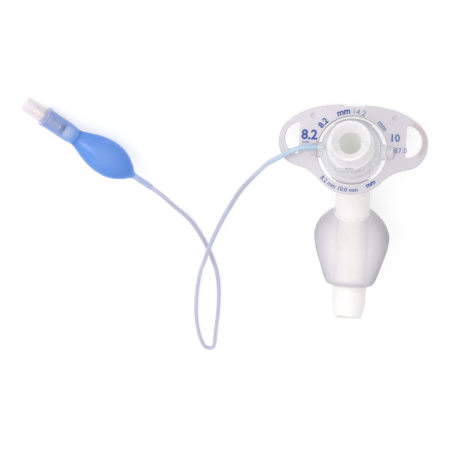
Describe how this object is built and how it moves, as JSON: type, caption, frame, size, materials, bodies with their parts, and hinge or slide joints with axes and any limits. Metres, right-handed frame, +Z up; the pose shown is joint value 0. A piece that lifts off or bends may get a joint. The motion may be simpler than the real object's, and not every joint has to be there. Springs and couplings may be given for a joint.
{
  "type": "tracheostomy tube",
  "caption": "Cuffed tracheostomy tube with a swivelling winged neck flange, removable inner cannula, tapered connector, and an inflation line with pilot balloon and valve.",
  "frame": {"origin": "on the table under the middle of the curved tube, where it lies on its cuff's belly and its flange's top edge", "axes": "+X across the flange, along its swivel axis, away from the side that the inflation line leaves; +Y along the tube's length toward the connector; +Z up"},
  "size_m": [0.1618, 0.217, 0.0444],
  "materials": {
    "airway": "satin",
    "cuff_film": "frosted",
    "hub_clear": "clear",
    "flange_soft": "satin",
    "liner": "satin",
    "connector_white": "gloss",
    "line_clear": "clear",
    "balloon_blue": "gloss",
    "port_clear": "clear",
    "plunger_cream": "satin",
    "seal_black": "matte",
    "spring_steel": "bright"
  },
  "bodies": {
    "tube": {"outer_cannula": "airway", "swivel_hub": "hub_clear", "cuff": "cuff_film", "inflation_line": "line_clear", "pilot_balloon": "balloon_blue", "valve_housing": "port_clear", "valve_retainer": "port_clear", "valve_spring": "spring_steel"},
    "flange": {"neck_flange": "flange_soft"},
    "inner": {"inner_cannula": "liner", "connector": "connector_white"},
    "plunger": {"valve_plunger": "plunger_cream", "valve_seal": "seal_black"}
  },
  "joints": [
    {"name": "flange_swivel", "type": "hinge", "parent": "tube", "child": "flange", "pos_m": [0, 0.03209, 0.01366], "axis": [1, 0, 0], "range_deg": [-20, 0]},
    {"name": "inner_withdrawal", "type": "hinge", "parent": "tube", "child": "inner", "pos_m": [0, 0.00672, 0.0647], "axis": [1, 0, 0], "range_deg": [0, 100]},
    {"name": "valve_press", "type": "slide", "parent": "tube", "child": "plunger", "axis": [0.7239, -0.6822, 0.1029], "range_m": [0, 0.0016], "stiffness_N_per_m": 300, "springref_m": -0.0005, "deforming": ["valve_spring"]}
  ]
}
